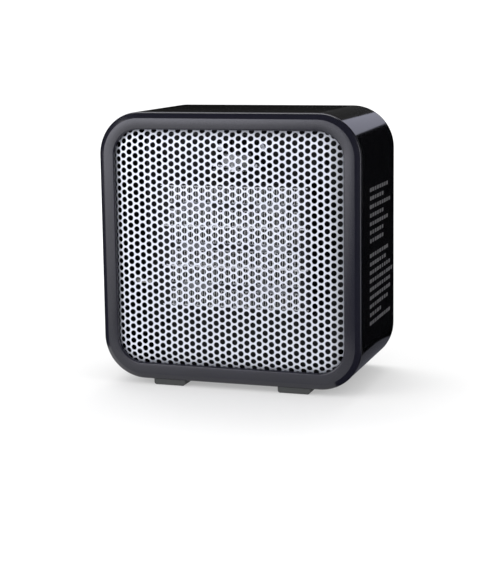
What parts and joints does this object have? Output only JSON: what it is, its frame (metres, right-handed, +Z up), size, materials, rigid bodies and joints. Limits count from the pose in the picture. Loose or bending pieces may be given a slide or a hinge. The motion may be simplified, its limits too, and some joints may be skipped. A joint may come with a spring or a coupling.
{
  "type": "ceramic space heater",
  "caption": "Small rounded-square ceramic fan heater: glossy black shell, grey bezel, perforated silver front grille, PTC element, axial fan and tip-over switch.",
  "frame": {"origin": "under the middle of the body, level with the soles of the feet", "axes": "+Z up, front grille faces -Y, +X to the right seen from the front"},
  "size_m": [0.147, 0.083, 0.1502],
  "materials": {
    "shell_gloss_black": "polished",
    "bezel_satin_grey": "satin",
    "grille_silver_steel": "satin",
    "foot_plastic": "matte",
    "label_foil": "satin",
    "duct_black_plastic": "matte",
    "fin_aluminium": "bright",
    "plate_aluminium": "bright",
    "electrode_aluminium": "satin",
    "ptc_ceramic": "matte",
    "carrier_plastic": "matte",
    "terminal_brass": "bright",
    "thermostat_ceramic": "satin",
    "thermostat_aluminium": "bright",
    "bracket_steel": "black oxide",
    "rivet_aluminium": "satin",
    "fuse_sleeve": "satin",
    "fan_plastic": "satin",
    "spring_steel": "bright",
    "shaft_steel": "ground",
    "rotor_aluminium": "cast",
    "washer_nylon": "matte",
    "stator_steel": "laminated",
    "ring_copper": "bright",
    "bobbin_nylon": "satin",
    "coil_copper": "enamelled",
    "bridge_alloy": "cast",
    "bearing_bronze": "sintered",
    "screw_zinc": "zinc plated",
    "screw_black": "black oxide",
    "boot_silicone": "matte",
    "switch_plastic": "satin",
    "tip_switch_plastic": "satin",
    "plunger_plastic": "satin",
    "gland_plastic": "matte",
    "lead_black": "matte",
    "lead_white": "matte"
  },
  "bodies": {
    "casing": {"rear_shell": "shell_gloss_black", "front_bezel": "bezel_satin_grey", "front_grille": "grille_silver_steel", "front_feet": "foot_plastic", "rear_feet": "foot_plastic", "rating_label": "label_foil", "air_duct": "duct_black_plastic", "element_fins": "fin_aluminium", "element_plates": "plate_aluminium", "electrode_sheets": "electrode_aluminium", "ceramic_stones": "ptc_ceramic", "stone_carriers": "carrier_plastic", "element_end_caps": "carrier_plastic", "element_terminals": "boot_silicone", "thermostat_body": "thermostat_ceramic", "thermostat_cap": "thermostat_aluminium", "thermostat_bracket": "bracket_steel", "thermostat_rivets": "rivet_aluminium", "thermostat_tabs": "boot_silicone", "thermal_fuse": "fuse_sleeve", "fuse_clip": "bracket_steel", "thrust_washers": "washer_nylon", "motor_stator": "stator_steel", "shading_rings": "ring_copper", "coil_bobbin": "bobbin_nylon", "motor_coil": "coil_copper", "motor_front_bridge": "bridge_alloy", "motor_rear_bridge": "bridge_alloy", "motor_bearings": "bearing_bronze", "motor_screws": "screw_zinc", "duct_screws": "screw_black", "housing_screws": "screw_zinc", "switch_case": "switch_plastic", "switch_terminals": "terminal_brass", "tip_switch_case": "tip_switch_plastic", "tip_switch_terminals": "terminal_brass", "tip_spring": "spring_steel", "tip_switch_screws": "screw_zinc", "cord_gland": "gland_plastic", "live_leads": "lead_black", "neutral_leads": "lead_white"},
    "rotor": {"fan": "fan_plastic", "fan_clip": "spring_steel", "motor_shaft": "shaft_steel", "motor_rotor": "rotor_aluminium"},
    "power_rocker": {"switch_rocker": "switch_plastic"},
    "plunger": {"tip_plunger": "plunger_plastic"}
  },
  "joints": [
    {"name": "fan_spin", "type": "hinge", "parent": "casing", "child": "rotor", "pos_m": [0, 0, 0.0767], "axis": [0, 1, 0], "continuous": true},
    {"name": "rocker_press", "type": "hinge", "parent": "casing", "child": "power_rocker", "pos_m": [0, 0.036, 0.1327], "axis": [0, 0, -1], "range_deg": [0, 20]},
    {"name": "plunger_drop", "type": "slide", "parent": "casing", "child": "plunger", "axis": [0, 0, -1], "range_m": [0, 0.0035], "stiffness_N_per_m": 25, "springref_m": 0.007, "deforming": ["tip_spring"]}
  ]
}
